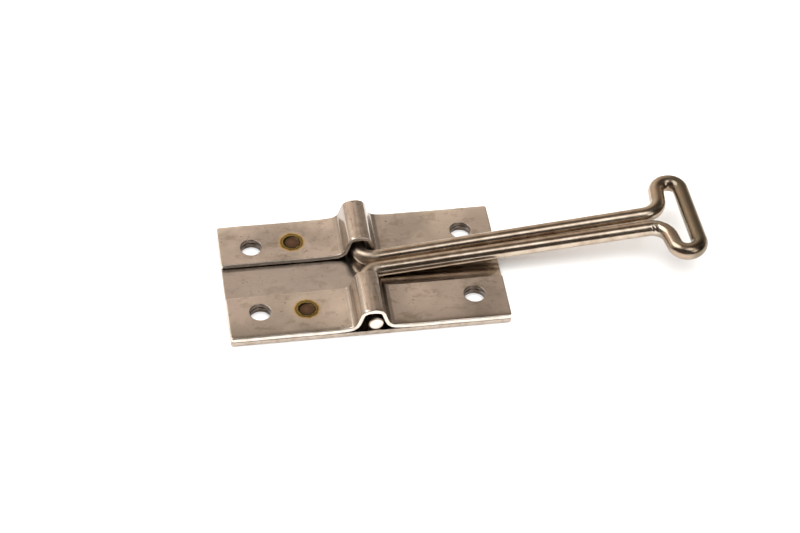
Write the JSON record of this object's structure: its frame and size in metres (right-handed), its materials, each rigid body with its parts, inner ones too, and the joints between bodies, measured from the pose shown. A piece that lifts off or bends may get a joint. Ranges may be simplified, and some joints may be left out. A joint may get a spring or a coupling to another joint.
{
  "type": "hinged wire hook latch",
  "caption": "Wire hook with a T-shaped looped head, hinged in two raised barrels on a flat screw-on sheet-steel plate; it holds a door or panel at a matching keeper.",
  "frame": {"origin": "middle of the plate's back face, which is the middle of the four screw holes at the surface it is screwed to", "axes": "+X along the plate towards the hook's head, +Y across the plate along the hinge line, +Z away from the mounting surface"},
  "size_m": [0.1487, 0.0499, 0.0123],
  "materials": {
    "base_sheet": "mill-finish stainless sheet, faintly streaked and pitted",
    "strap_sheet": "mill-finish stainless sheet with bright cut edges and heat-tinted spot-weld prints",
    "weld": "fused steel, hidden between the sheets",
    "wire": "bright drawn stainless wire, semi-polished"
  },
  "bodies": {
    "bracket": {"base_plate": "base_sheet", "rear_strap": "strap_sheet", "front_strap": "strap_sheet", "rear_weld": "weld", "front_weld": "weld"},
    "hook": {"wire_hook": "wire"}
  },
  "joints": [
    {"name": "hook_hinge", "type": "hinge", "parent": "bracket", "child": "hook", "pos_m": [0.00025, 0.00135, 0.00395], "axis": [0.0384, -0.9993, 0], "range_deg": [-1.3, 176.5]}
  ]
}
